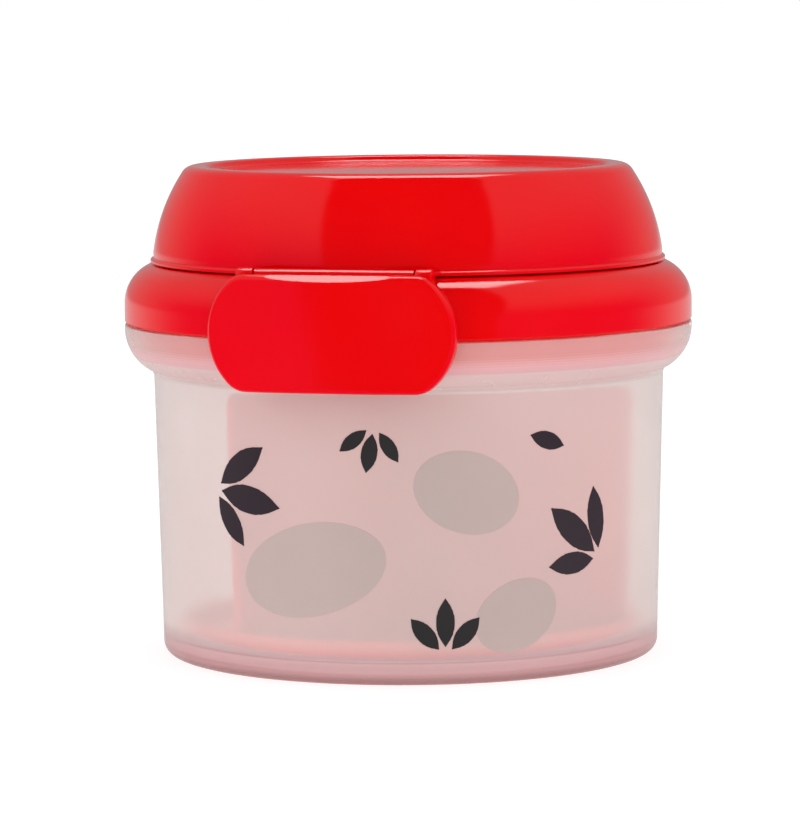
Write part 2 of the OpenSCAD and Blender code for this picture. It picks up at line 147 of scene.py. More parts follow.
world = bpy.data.worlds.new("bright surround")
scene.world = world
world.use_nodes = True
world.cycles.sampling_method = "NONE"
room = world.node_tree
way = room.nodes.new("ShaderNodeTexCoord")
turned_way = room.nodes.new("ShaderNodeVectorRotate")
turned_way.rotation_type = "Z_AXIS"
turned_way.inputs["Angle"].default_value = -CAMERA_TURN
room.links.new(way.outputs["Generated"], turned_way.inputs["Vector"])
split = room.nodes.new("ShaderNodeSeparateXYZ")
room.links.new(turned_way.outputs["Vector"], split.inputs["Vector"])
aside = number(room, "ABSOLUTE", split.outputs["X"])
back, up = split.outputs["Y"], split.outputs["Z"]
edge = number(room, "MULTIPLY_ADD", back, BOX_LEAN_BACK, aside)
edge = number(room, "MULTIPLY_ADD", up, -BOX_LEAN_UP, edge)
panel = ramp(room, aside, PANEL_HALF_WIDTH + SOFT_EDGE, PANEL_HALF_WIDTH - SOFT_EDGE)
panel = number(
    room, "MULTIPLY", panel, ramp(room, back, PANEL_START - SOFT_EDGE, PANEL_START + SOFT_EDGE)
)
panel = number(
    room, "MULTIPLY", panel, ramp(room, back, PANEL_END + SOFT_EDGE, PANEL_END - SOFT_EDGE)
)
panel = number(room, "MULTIPLY", panel, ramp(room, up, PANEL_LOW_FROM, PANEL_LOW_TO))


def mixed(tree, factor, first, second):
    """A colour between first and second; each is a socket or a plain colour."""
    node = tree.nodes.new("ShaderNodeMix")
    node.data_type = "RGBA"
    tree.links.new(factor, node.inputs["Factor"])
    for name, value in (("A", first), ("B", second)):
        if isinstance(value, tuple):
            node.inputs[name].default_value = value
        else:
            tree.links.new(value, node.inputs[name])
    return node.outputs["Result"]


def grey(level):
    """A neutral colour."""
    return (level, level, level, 1)


glow = mixed(room, ramp(room, up, BOX_SHADES_FROM, BOX_SHADES_TO), BOX_LOW, BOX_HIGH)
ground = ramp(room, up, GROUND_FROM, GROUND_TO)
behind = mixed(room, ground, grey(BACKDROP_GLOW), grey(GROUND_GLOW))
glow = mixed(room, ramp(room, back, BACKDROP_FROM, BACKDROP_TO), glow, behind)
glow = mixed(room, ramp(room, edge, -SOFT_EDGE, SOFT_EDGE), grey(0), glow)
glow = mixed(room, panel, glow, grey(PANEL_GLOW))
glow = mixed(room, mirrored(room), grey(ROOM_LIGHT), glow)
room.links.new(glow, room.nodes["Background"].inputs["Color"])

bpy.ops.mesh.primitive_plane_add(size=FLOOR_SIZE, location=(0, 0, 0))
floor = bpy.context.object
floor.name = "studio_floor"
floor_paint = bpy.data.materials.new("pale studio floor")
floor_paint.use_nodes = True
tree = floor_paint.node_tree
paint = tree.nodes["Principled BSDF"]
paint.inputs["Base Color"].default_value = grey(FLOOR_PAINT)
paint.inputs["Roughness"].default_value = 1
paint.inputs["Specular IOR Level"].default_value = 0
paint.inputs["Emission Color"].default_value = grey(1)
paint.inputs["Emission Strength"].default_value = FLOOR_GLOW
unseen = tree.nodes.new("ShaderNodeBsdfTransparent")
seen_by_gloss = tree.nodes.new("ShaderNodeMixShader")
tree.links.new(mirrored(tree), seen_by_gloss.inputs["Fac"])
tree.links.new(paint.outputs["BSDF"], seen_by_gloss.inputs[1])
tree.links.new(unseen.outputs["BSDF"], seen_by_gloss.inputs[2])
tree.links.new(seen_by_gloss.outputs["Shader"], tree.nodes["Material Output"].inputs["Surface"])
floor.data.materials.append(floor_paint)
bpy.ops.object.select_all(action="DESELECT")

# --------------------------------------------------------------------------------------------------
# Cup: injection moulded in milky polypropylene, with a flared rim, a gutter inside it, and a neck
# with four helical ridges for the collar. The wall is drafted, frosted by its mould, and shows what
# lies close behind it.

MILK, MILK_SHADE = (0.875, 0.81, 0.775, 1), (0.835, 0.765, 0.73, 1)
MILK_IOR = 1.3
WALL_CLEARNESS, RIM_CLEARNESS, ROOT_CLEARNESS = 0.42, 0.64, 0.2
# top of each band low on the rim, where the plastic gets thicker, and how clear it is
RIM_BANDS = ((55.5, 0.21), (55.9, 0.29), (56.35, 0.41), (56.8, 0.53), (57.3, 0.615))
# pink painted low on the rim: painted red light from the collar behind the flare, growing from the
# first height down to the second
RIM_RED_LIGHT_PAINT, RIM_RED_LIGHT_PAINT_FROM, RIM_RED_LIGHT_PAINT_TO = (0.84, 0.5, 0.51, 1), 57.2, 55
LIGHT_LET_IN = 0.96
ROOT_LOW_Z, ROOT_TOP_Z = 51.4, 54.4
# the rim's root is painted pink: painted red light from the red pieces inside it
ROOT_MILK_RED_LIGHT_PAINT, ROOT_SHADE_RED_LIGHT_PAINT = (0.8, 0.61, 0.59, 1), (0.76, 0.575, 0.555, 1)
# the foot is painted pink for the red light of the divider's tray seen through it, and darker at its
# bottom edge as painted shade
FOOT_RED_LIGHT_PAINT, FOOT_RED_LIGHT_PAINT_FROM, FOOT_RED_LIGHT_PAINT_TO = (0.66, 0.42, 0.425, 1), 7.5, 2.8
FOOT_EDGE_SHADE_PAINT, FOOT_EDGE_SHADE_PAINT_FROM, FOOT_EDGE_SHADE_PAINT_TO = (0.46, 0.3, 0.29, 1), 1.9, 0.9
WAVE_HEIGHT, WAVE_DETAIL = 0.00002, 2
SMEAR_SCALE, SMEAR_DETAIL = 70, 4
STREAK_SCALE, STREAK_DETAIL, STREAK_FROM, STREAK_TO = 28, 3, 0.3, 0.7
SAME_PLACE, SAME_PLACE_IN_FRAME = 1e-7, 1e-6


def moulded_surface():
    """Node group for moulded faces: a faintly wavy normal, smears of haze, slow streaks of tone."""
    group = bpy.data.node_groups.new("moulded surface", "ShaderNodeTree")
    sockets = group.interface
    for name in ("Wave scale", "Depth", "Gloss", "Haze"):
        sockets.new_socket(name, in_out="INPUT", socket_type="NodeSocketFloat")
    for name, kind in (("Tone", "Float"), ("Roughness", "Float"), ("Normal", "Vector")):
        sockets.new_socket(name, in_out="OUTPUT", socket_type="NodeSocket" + kind)
    given = group.nodes.new("NodeGroupInput")
    put = group.nodes.new("NodeGroupOutput")
    place = group.nodes.new("ShaderNodeTexCoord")

    def noise(scale, detail):
        node = group.nodes.new("ShaderNodeTexNoise")
        node.inputs["Detail"].default_value = detail
        if isinstance(scale, (int, float)):
            node.inputs["Scale"].default_value = scale
        else:
            group.links.new(scale, node.inputs["Scale"])
        group.links.new(place.outputs["Object"], node.inputs["Vector"])
        return node.outputs["Fac"]

    waves = noise(given.outputs["Wave scale"], WAVE_DETAIL)
    bump = group.nodes.new("ShaderNodeBump")
    bump.inputs["Distance"].default_value = WAVE_HEIGHT
    group.links.new(waves, bump.inputs["Height"])
    group.links.new(given.outputs["Depth"], bump.inputs["Strength"])
    group.links.new(bump.outputs["Normal"], put.inputs["Normal"])
    smears = noise(SMEAR_SCALE, SMEAR_DETAIL)
    haze = number(group, "MULTIPLY_ADD", smears, given.outputs["Haze"], given.outputs["Gloss"])
    group.links.new(haze, put.inputs["Roughness"])
    streaks = noise(STREAK_SCALE, STREAK_DETAIL)
    group.links.new(ramp(group, streaks, STREAK_FROM, STREAK_TO), put.inputs["Tone"])
    return group


surface_of_mould = moulded_surface()


def moulded_plastic(name, colour, shade, gloss, haze, depth, wave_scale=900):
    """A material that drifts from colour to shade, with the mould's roughness and normal."""
    material = bpy.data.materials.new(name)
    material.use_nodes = True
    tree = material.node_tree
    shader = tree.nodes["Principled BSDF"]
    surface = tree.nodes.new("ShaderNodeGroup")
    surface.node_tree = surface_of_mould
    for socket, value in (
        ("Wave scale", wave_scale), ("Depth", depth), ("Gloss", gloss), ("Haze", haze)
    ):
        surface.inputs[socket].default_value = value
    tree.links.new(mixed(tree, surface.outputs["Tone"], colour, shade), shader.inputs["Base Color"])
    tree.links.new(surface.outputs["Roughness"], shader.inputs["Roughness"])
    tree.links.new(surface.outputs["Normal"], shader.inputs["Normal"])
    return material, shader


def rides(piece, name, body, slot, *materials, stands_for=None, smooth_below=40):
    """Names, smooths and finishes a piece, which is the active one, and seats it on its body."""
    bpy.ops.object.shade_smooth_by_angle(angle=math.radians(smooth_below))
    piece.name = name
    piece.data.name = name
    piece.data.materials.clear()
    for material in materials:
        piece.data.materials.append(material)
    piece.select_set(False)
    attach(piece, body)
    if stands_for:
        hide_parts(stands_for)


def fair_copy(node, name, body, slot, material):
    """The frame's own piece with its triangles merged and its curves smoothed."""
    piece = frame["nodes"][node].copy()
    piece.data = piece.data.copy()
    piece.parent = None
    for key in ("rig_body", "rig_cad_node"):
        if key in piece:
            del piece[key]
    bpy.context.collection.objects.link(piece)
    bpy.context.view_layer.objects.active = piece
    piece.select_set(True)
    bpy.ops.object.mode_set(mode="EDIT")
    bpy.ops.mesh.select_all(action="SELECT")
    bpy.ops.mesh.remove_doubles(threshold=SAME_PLACE_IN_FRAME)
    bpy.ops.mesh.customdata_custom_splitnormals_clear()
    bpy.ops.object.mode_set(mode="OBJECT")
    rides(piece, name, body, slot, material, stands_for=node, smooth_below=35)


def milky_plastic(name, colour, shade, gloss, clearness):
    """Polypropylene that scatters light on its way in, so things behind it are lit as if bare."""
    material, shader = moulded_plastic(
        name, colour, shade, gloss, haze=0.05, depth=0.1, wave_scale=1500
    )
    shader.inputs["IOR"].default_value = MILK_IOR
    shader.inputs["Transmission Weight"].default_value = clearness
    tree = material.node_tree
    rays = tree.nodes.new("ShaderNodeLightPath")
    let_in = number(tree, "MULTIPLY_ADD", rays.outputs["Is Diffuse Ray"], -LIGHT_LET_IN, 1)
    tree.links.new(let_in, shader.inputs["Alpha"])
    return material, shader


def painted_light_below(material, shader, *light_paints):
    """Paints light and shade into the plastic's colour by height; each grows from one height to a
    lower one.
    """
    tree = material.node_tree
    place = tree.nodes.new("ShaderNodeTexCoord")
    split = tree.nodes.new("ShaderNodeSeparateXYZ")
    tree.links.new(place.outputs["Object"], split.inputs["Vector"])
    colour = shader.inputs["Base Color"].links[0].from_socket
    for start_z, full_z, light_paint in light_paints:
        share = ramp(tree, split.outputs["Z"], start_z * MM, full_z * MM)
        colour = mixed(tree, share, colour, light_paint)
    tree.links.new(colour, shader.inputs["Base Color"])


milky_wall, shader = milky_plastic(
    "milky polypropylene", MILK, MILK_SHADE, gloss=0.2, clearness=WALL_CLEARNESS
)
# painted red light in the foot and painted shade at its bottom edge
painted_light_below(
    milky_wall, shader,
    (FOOT_RED_LIGHT_PAINT_FROM, FOOT_RED_LIGHT_PAINT_TO, FOOT_RED_LIGHT_PAINT), (FOOT_EDGE_SHADE_PAINT_FROM, FOOT_EDGE_SHADE_PAINT_TO, FOOT_EDGE_SHADE_PAINT),
)
milky_inside, shader = milky_plastic(
    "milky polypropylene, inside", grey(1), grey(0.98), gloss=0.15, clearness=1
)
milky_root, shader = milky_plastic(
    "milky polypropylene, root of the rim, red light painted in", ROOT_MILK_RED_LIGHT_PAINT, ROOT_SHADE_RED_LIGHT_PAINT,
    gloss=0.25, clearness=ROOT_CLEARNESS,
)
milky_rim = []
for band, clearness in enumerate([c for _, c in RIM_BANDS] + [RIM_CLEARNESS]):
    material, shader = milky_plastic(
        f"milky polypropylene, rim {band}", MILK, MILK_SHADE, gloss=0.15, clearness=clearness
    )
    # painted red light low on the rim
    painted_light_below(material, shader, (RIM_RED_LIGHT_PAINT_FROM, RIM_RED_LIGHT_PAINT_TO, RIM_RED_LIGHT_PAINT))
    milky_rim.append(material)

GROOVE_IN_R, GROOVE_OUT_R, GROOVE_DEEP, GROOVE_SLOPE = 35.7, 40, 1.2, 0.4
BASE_R, BASE_ROUND, BASE_BULGE = 44.7, 2.2, 0.64
WALL_TOP_R, WALL_TOP_Z, WALL_THICK = 45.9, 50.4, 2.05
FLOOR_THICK, FLOOR_ROUND = 3.4, 3.2
FILLET_OUT, FILLET_UP = 1.35, 1.5
FILLET_BULGE, FLARE_BULGE, GUTTER_BULGE, FLOOR_BULGE = -0.3, 1.03, -0.82, -0.93
RIM_R, RIM_SIDE_Z, LIP_Z, RIM_INSIDE_R, GUTTER_Z = 51.05, 58.9, 59.7, 49.45, 54.2
NECK_R, NECK_INSIDE_R, NECK_Z = 45.85, 43.85, 65.4
RIDGES, RIDGE_CREST_R, RIDGE_LOW_Z, RIDGE_H = 4, 47.45, 57.8, 1.8
RIDGE_TURN, RIDGE_RISE, RIDGE_STEPS = 75, 5.0, 30
RIDGE_BURIED, RIDGE_FLANK, RIDGE_END_TURN, RIDGE_END_H = 0.4, 0.54, 10, 0.25


def wall_radius(z):
    """Outer radius of the cup's drafted wall at a height, all in millimetres."""
    return BASE_R + (WALL_TOP_R - BASE_R) * (z - BASE_ROUND) / (WALL_TOP_Z - BASE_ROUND)


def arched(start, end, bulge, steps=10):
    """Points of an arc from start to end that bows out by bulge, to the right of the way along."""
    start, end = Vector(start), Vector(end)
    chord = end - start
    radius = (chord.length ** 2 / 4 + bulge ** 2) / (2 * abs(bulge))
    along = chord.normalized()
    right = Vector((along.y, -along.x)) * (1 if bulge > 0 else -1)
    centre = (start + end) / 2 - right * (radius - abs(bulge))
    reach = math.asin(min(1, chord.length / 2 / radius))
    angles = [reach * (2 * k / steps - 1) for k in range(steps + 1)]
    return [
        tuple(centre + right * radius * math.cos(a) + along * radius * math.sin(a)) for a in angles
    ]


def turned(section, around=144, closed=True):
    """A section of (radius, height) points, drawn point by point and spun once round +Z."""
    bpy.ops.object.select_all(action="DESELECT")
    bpy.ops.mesh.primitive_plane_add(size=MM)
    bpy.ops.object.mode_set(mode="EDIT")
    bpy.ops.mesh.select_mode(type="VERT")
    bpy.ops.mesh.merge(type="CENTER")
    bpy.ops.transform.translate(value=(section[0][0] * MM, 0, section[0][1] * MM))
    way_round = list(section) + ([section[0]] if closed else [])
    for (r0, z0), (r1, z1) in zip(way_round, way_round[1:]):
        step = ((r1 - r0) * MM, 0, (z1 - z0) * MM)
        bpy.ops.mesh.extrude_region_move(TRANSFORM_OT_translate={"value": step})
    bpy.ops.mesh.select_all(action="SELECT")
    bpy.ops.mesh.remove_doubles(threshold=SAME_PLACE)
    bpy.ops.mesh.spin(steps=around, angle=2 * math.pi, center=(0, 0, 0), axis=(0, 0, 1))
    bpy.ops.mesh.select_all(action="SELECT")
    bpy.ops.mesh.remove_doubles(threshold=SAME_PLACE)
    bpy.ops.mesh.normals_make_consistent(inside=False)
    bpy.ops.object.mode_set(mode="OBJECT")
    return bpy.context.object


def finished(piece, kind, **settings):
    """Adds a modifier with its settings and applies it."""
    bpy.ops.object.select_all(action="DESELECT")
    bpy.context.view_layer.objects.active = piece
    piece.select_set(True)
    modifier = piece.modifiers.new(kind.title(), kind)
    for name, value in settings.items():
        setattr(modifier, name, value)
    bpy.ops.object.modifier_apply(modifier=modifier.name)


def combined(piece, other, operation, many=False):
    """Cuts, joins or trims a piece with another, which is used up and may be many that overlap."""
    finished(piece, "BOOLEAN", object=other, operation=operation, solver="EXACT", use_self=many)
    bpy.data.objects.remove(other)


def drawn_outline(points):
    """A face with the given outline of (x, y, z) points, drawn point by point."""
    bpy.ops.object.select_all(action="DESELECT")
    bpy.ops.mesh.primitive_plane_add(size=MM)
    bpy.ops.object.mode_set(mode="EDIT")
    bpy.ops.mesh.select_mode(type="VERT")
    bpy.ops.mesh.merge(type="CENTER")
    bpy.ops.transform.translate(value=[c * MM for c in points[0]])
    for start, end in zip(points, points[1:]):
        step = [(e - b) * MM for b, e in zip(start, end)]
        bpy.ops.mesh.extrude_region_move(TRANSFORM_OT_translate={"value": step})
    bpy.ops.mesh.select_all(action="SELECT")
    bpy.ops.mesh.edge_face_add()
    bpy.ops.mesh.select_all(action="SELECT")
    bpy.ops.mesh.edge_face_add()
    bpy.ops.object.mode_set(mode="OBJECT")
    return bpy.context.object


floor_round_z = FLOOR_THICK + FLOOR_ROUND
wall_inside_r = wall_radius(floor_round_z) - WALL_THICK
floor_r = wall_inside_r - FLOOR_ROUND
fillet_r, fillet_z = WALL_TOP_R + FILLET_OUT, WALL_TOP_Z + FILLET_UP
cup = turned(
    # the underside with its ring groove, and the round foot
    [(0, 0), (GROOVE_IN_R, 0), (GROOVE_IN_R + GROOVE_SLOPE, GROOVE_DEEP)]
    + [(GROOVE_OUT_R - GROOVE_SLOPE, GROOVE_DEEP), (GROOVE_OUT_R, 0)]
    + arched((BASE_R - BASE_ROUND, 0), (BASE_R, BASE_ROUND), BASE_BULGE, 8)
    # the wall's outside, the fillet over it, and the flare
    + arched((WALL_TOP_R, WALL_TOP_Z), (fillet_r, fillet_z), FILLET_BULGE, 6)
    + arched((fillet_r, fillet_z), (RIM_R, RIM_SIDE_Z), FLARE_BULGE, 18)
    # the lip with its eased edges
    + [(RIM_R, LIP_Z - 0.35), (RIM_R - 0.1, LIP_Z - 0.1), (RIM_R - 0.35, LIP_Z)]
    + [(RIM_INSIDE_R + 0.3, LIP_Z), (RIM_INSIDE_R, LIP_Z - 0.3)]
    # the gutter between rim and neck
    + arched((RIM_INSIDE_R, RIM_SIDE_Z), (NECK_R + 1.5, GUTTER_Z), GUTTER_BULGE, 8)
    + [(NECK_R + 0.5, GUTTER_Z), (NECK_R + 0.1, GUTTER_Z + 0.1), (NECK_R, GUTTER_Z + 0.5)]
    # the neck, divided where the bands of clearness end, and its eased edges
    + [(NECK_R, top_z) for top_z, _ in RIM_BANDS]
    + [(NECK_R, NECK_Z - 0.4), (NECK_R - 0.12, NECK_Z - 0.12), (NECK_R - 0.4, NECK_Z)]
    + [(NECK_INSIDE_R + 0.3, NECK_Z), (NECK_INSIDE_R, NECK_Z - 0.3)]
    # the inside, down to the floor
    + [(NECK_INSIDE_R, WALL_TOP_Z), (wall_inside_r, floor_round_z)]
    + arched((wall_inside_r, floor_round_z - 0.01), (floor_r, FLOOR_THICK), FLOOR_BULGE, 8)
    + [(0, FLOOR_THICK)],
    around=180,
    closed=False,
)


def helical_ridge(start):
    """One ridge of the neck's turn lock: a section carried round and up, with both ends run out."""
    root, top_z = NECK_R - RIDGE_BURIED, RIDGE_LOW_Z + RIDGE_H
    ridge = drawn_outline(
        [
            (root, 0, RIDGE_LOW_Z), (RIDGE_CREST_R, 0, RIDGE_LOW_Z + RIDGE_FLANK),
            (RIDGE_CREST_R, 0, top_z - RIDGE_FLANK), (root, 0, top_z),
        ]
    )
    steps = {"steps": RIDGE_STEPS, "render_steps": RIDGE_STEPS}
    finished(ridge, "SCREW", angle=math.radians(RIDGE_TURN), screw_offset=RIDGE_RISE * MM, **steps)
    for vertex in ridge.data.vertices:
        turn = math.degrees(math.atan2(vertex.co.y, vertex.co.x))
        to_end = max(0, min(turn, RIDGE_TURN - turn) / RIDGE_END_TURN)
        radius = math.hypot(vertex.co.x, vertex.co.y)
        kept = root * MM + (radius - root * MM) * min(1, RIDGE_END_H + (1 - RIDGE_END_H) * to_end)
        vertex.co.x *= kept / radius
        vertex.co.y *= kept / radius
    bpy.ops.object.mode_set(mode="EDIT")
    bpy.ops.mesh.select_all(action="SELECT")
    bpy.ops.mesh.remove_doubles(threshold=SAME_PLACE)
    bpy.ops.mesh.fill_holes(sides=8)
    bpy.ops.mesh.select_all(action="SELECT")
    bpy.ops.mesh.normals_make_consistent(inside=False)
    bpy.ops.object.mode_set(mode="OBJECT")
    ridge.data.transform(Matrix.Rotation(math.radians(start), 4, "Z"))
    return ridge


for k in range(RIDGES):
    combined(cup, helical_ridge(360 * k / RIDGES), "UNION")
cup_finishes = [milky_wall, milky_inside, milky_root, *milky_rim]
rides(cup, "frosted_cup", "cup", "frosted", *cup_finishes, stands_for="cup", smooth_below=32)
for face in cup.data.polygons:
    outwards = Vector((face.center.x, face.center.y, 0)).normalized()
    top_z = max(cup.data.vertices[v].co.z for v in face.vertices) / MM
    is_floor = face.normal.z > 0.5 and face.center.z < floor_round_z * MM
    finish = milky_wall
    if face.normal.dot(outwards) < -0.1 or is_floor:
        finish = milky_inside
    elif face.center.z > ROOT_LOW_Z * MM and top_z < ROOT_TOP_Z:
        finish = milky_root
    elif face.center.z > ROOT_LOW_Z * MM:
        finish = milky_rim[sum(top_z > band_top + 0.01 for band_top, _ in RIM_BANDS)]
    face.material_index = cup_finishes.index(finish)

# --------------------------------------------------------------------------------------------------
# Print on the cup's front: pad printed in two inks, big pale pebbles first and small black leaves
# over the bare wall between them. Each motif is a film a few hundredths of a millimetre thick that
# follows the wall.

PRINT_TURN = 14.9
PALE_FILM, BLACK_FILM = 0.04, 0.06
FILM_LOW_Z, FILM_HIGH_Z, FILM_SUNK = 4, 47, 0.03
MOTIF_POINTS, PINCHES, PINCH = 64, 15, 0.93
BLOCK_FACE_R, BLOCK_DEEP = 50, 12
# centre along the wall from the print's middle, height, half length, half width, tilt in degrees
PEBBLES = ((-17.5, 20, 13.5, 8, 14), (10, 33.5, 9.5, 7, -18), (19, 11.8, 8, 6, 24))
# root of a sprig along the wall and in height, then each leaf's direction, half length, half width
SPRIGS = (
    (-38, 33, ((35, 6, 2.2), (-10, 6.5, 2.4), (-55, 5, 1.9))),
    (37, 20.5, ((98, 5.5, 2), (140, 6.5, 2.4), (184, 5, 1.9))),
    (-6, 45.5, ((-58, 3, 1.2), (-100, 3.4, 1.4), (-142, 3, 1.2))),
    (6, 5.2, ((48, 3.6, 1.5), (90, 4.2, 1.6), (132, 3.6, 1.5))),
    (20, 43.5, ((-18, 3.6, 1.5),)),
)
LEAF_OFF_ROOT = 1.7


def settled():
    """Moves the active object's place into its mesh."""
    bpy.ops.object.transform_apply(location=True, rotation=True, scale=True)
    return bpy.context.object


def motif_block(along, z, half_length, half_width, tilt, pointed):
    """A block through the wall with one motif's outline, turned to its place on the print."""
    azimuth = math.radians(PRINT_TURN) + along / wall_radius(z)
    out = Vector((math.sin(azimuth), -math.cos(azimuth), 0))
    bpy.ops.object.select_all(action="DESELECT")
    bpy.ops.mesh.primitive_circle_add(
        vertices=MOTIF_POINTS, radius=1, fill_type="NGON",
        location=(0, 0, 0), rotation=(math.pi / 2, 0, 0),
    )
    block = settled()
    bpy.ops.object.mode_set(mode="EDIT")
    bpy.ops.mesh.select_mode(type="VERT")
    if pointed:
        for k in range(1, PINCHES + 1):
            bpy.ops.mesh.select_all(action="DESELECT")
            bpy.ops.object.mode_set(mode="OBJECT")
            for vertex in block.data.vertices:
                vertex.select = abs(vertex.co.x) > math.sqrt(1 - PINCH ** (2 * k)) - 0.01
            bpy.ops.object.mode_set(mode="EDIT")
            bpy.ops.transform.resize(value=(1, 1, PINCH), center_override=(0, 0, 0))
    bpy.ops.mesh.select_all(action="SELECT")
    size = (half_length * MM, 1, half_width * MM)
    bpy.ops.transform.resize(value=size, center_override=(0, 0, 0))
    bpy.ops.object.mode_set(mode="OBJECT")
    turn = Matrix.Rotation(azimuth, 4, "Z") @ Matrix.Rotation(-math.radians(tilt), 4, "Y")
    block.matrix_world = Matrix.Translation(out * BLOCK_FACE_R * MM + Vector((0, 0, z * MM))) @ turn
    settled()
    bpy.ops.object.mode_set(mode="EDIT")
    bpy.ops.mesh.select_all(action="SELECT")
    inwards = tuple(-out * BLOCK_DEEP * MM)
    bpy.ops.mesh.extrude_region_move(TRANSFORM_OT_translate={"value": inwards})
    bpy.ops.mesh.select_all(action="SELECT")
    bpy.ops.mesh.normals_make_consistent(inside=False)
    bpy.ops.object.mode_set(mode="OBJECT")
    return block


def printed(name, motifs, pointed, proud, ink):
    """One ink's film: a thin band round the wall, kept only where the motifs are."""
    low_r, high_r = wall_radius(FILM_LOW_Z), wall_radius(FILM_HIGH_Z)
    band = [
        (low_r - FILM_SUNK, FILM_LOW_Z), (low_r + proud, FILM_LOW_Z),
        (high_r + proud, FILM_HIGH_Z), (high_r - FILM_SUNK, FILM_HIGH_Z),
    ]
    film = turned(band, around=240)
    blocks = [motif_block(*motif, pointed) for motif in motifs]
    bpy.ops.object.select_all(action="DESELECT")
    for block in blocks:
        block.select_set(True)
    bpy.context.view_layer.objects.active = blocks[0]
    bpy.ops.object.join()
    combined(film, blocks[0], "INTERSECT", many=True)
    rides(film, name, "cup", "frosted", ink, smooth_below=30)


leaves = []
for along, z, fan in SPRIGS:
    for direction, half_length, half_width in fan:
        reach = half_length + LEAF_OFF_ROOT
        away = math.radians(direction)
        leaf_at = (along + reach * math.cos(away), z + reach * math.sin(away))
        leaves.append((*leaf_at, half_length, half_width, direction))
PALE_INK, PALE_INK_SHADE, PALE_INK_COVER = (0.65, 0.52, 0.485, 1), (0.6, 0.48, 0.45, 1), 0.78
pale_ink, shader = moulded_plastic(
    "pale ink", PALE_INK, PALE_INK_SHADE, gloss=0.35, haze=0.1, depth=0.3, wave_scale=2600
)
shader.inputs["Alpha"].default_value = PALE_INK_COVER
black_ink, shader = moulded_plastic(
    "black ink", grey(0.022), grey(0.032), gloss=0.32, haze=0.1, depth=0.3, wave_scale=2600
)
printed("pale_pebbles", PEBBLES, False, PALE_FILM, pale_ink)
printed("black_leaves", leaves, True, BLACK_FILM, black_ink)

# --------------------------------------------------------------------------------------------------
# Divider: one moulding in glossy red polypropylene, a thin tray with a low rim, and three upright
# wings that meet at a post. It stands in the cup and lifts out by hand, so nothing fixes it.

RED, DEEP_RED = (0.85, 0.0, 0.0005, 1), (0.8, 0.0, 0.002, 1)
RED_IOR = 1.49

red_plastic, shader = moulded_plastic(
    "glossy red polypropylene", RED, DEEP_RED, gloss=0.07, haze=0.06, depth=0.15
)
shader.inputs["IOR"].default_value = RED_IOR
fair_copy("divider", "three_way_divider", "cup", "red", red_plastic)

# --------------------------------------------------------------------------------------------------
# Seal: a ring moulded in silicone that lies on the neck's edge. The turning collar presses it down,
# and a low bead along the middle of its underside makes it tight.

SEAL_IN_R, SEAL_OUT_R, SEAL_LOW_Z, SEAL_HIGH_Z, SEAL_EDGE = 44.05, 46.55, 65.5, 66.75, 0.35
SEAL_BEAD_HALF_W, SEAL_BEAD_DEEP = 0.4, 0.06
SILICONE, SILICONE_SHADE = (0.9, 0.87, 0.85, 1), (0.86, 0.83, 0.81, 1)
SUBSURFACE_WEIGHT, SUBSURFACE_RADIUS = 0.4, (0.003, 0.002, 0.0015)

silicone, shader = moulded_plastic(
    "silicone", SILICONE, SILICONE_SHADE, gloss=0.42, haze=0.1, depth=0.2, wave_scale=1800
)
shader.inputs["Subsurface Weight"].default_value = SUBSURFACE_WEIGHT
shader.inputs["Subsurface Radius"].default_value = SUBSURFACE_RADIUS


def rounded(section, radius, steps=4):
    """A closed section with each corner drawn as a small curve that starts radius before it."""
    points = []
    count = len(section)
    for i, corner in enumerate(section):
        before, here = Vector(section[i - 1]), Vector(corner)
        after = Vector(section[(i + 1) % count])
        into, out = before - here, after - here
        reach = min(radius, into.length * 0.45, out.length * 0.45)
        start, end = here + into.normalized() * reach, here + out.normalized() * reach
        for k in range(steps + 1):
            t = k / steps
            points.append(tuple((1 - t) ** 2 * start + 2 * t * (1 - t) * here + t * t * end))
    return points


bead_r = (SEAL_IN_R + SEAL_OUT_R) / 2
seal = turned(
    rounded(
        [
            (SEAL_IN_R, SEAL_LOW_Z), (bead_r - SEAL_BEAD_HALF_W, SEAL_LOW_Z),
            (bead_r, SEAL_LOW_Z - SEAL_BEAD_DEEP), (bead_r + SEAL_BEAD_HALF_W, SEAL_LOW_Z),
            (SEAL_OUT_R, SEAL_LOW_Z), (SEAL_OUT_R, SEAL_HIGH_Z), (SEAL_IN_R, SEAL_HIGH_Z),
        ],
        SEAL_EDGE,
    )
)
rides(seal, "neck_seal", "guard", "silicone", silicone, stands_for="seal_ring")

# --------------------------------------------------------------------------------------------------
# Guard frame: a flat ring in glossy red polypropylene, with an upright lip that the collar's mouth
# turns round. It lies on the seal, held under the collar's roof.

FRAME_IN_R, FRAME_OUT_R, FRAME_LOW_Z, FRAME_HIGH_Z, FRAME_EDGE = 38.6, 46.6, 66.8, 67.9, 0.3
FRAME_LIP_IN_R, FRAME_LIP_OUT_R, FRAME_LIP_Z = 39.8, 40.95, 70.4

guard_frame = turned(
    rounded(
        [
            (FRAME_IN_R, FRAME_LOW_Z), (FRAME_OUT_R, FRAME_LOW_Z), (FRAME_OUT_R, FRAME_HIGH_Z),
            (FRAME_LIP_OUT_R, FRAME_HIGH_Z), (FRAME_LIP_OUT_R, FRAME_LIP_Z),
            (FRAME_LIP_IN_R, FRAME_LIP_Z), (FRAME_LIP_IN_R, FRAME_HIGH_Z),
            (FRAME_IN_R, FRAME_HIGH_Z),
        ],
        FRAME_EDGE,
    )
)
rides(guard_frame, "guard_frame_ring", "guard", "red", red_plastic, stands_for="guard_frame")

# --------------------------------------------------------------------------------------------------
# Finger guard: a dished silicone disc, cut into eight petals that let a small hand through. Each
# slit ends in a round hole against tearing, and the disc's thick rim grips the frame's inner edge
# in a groove.

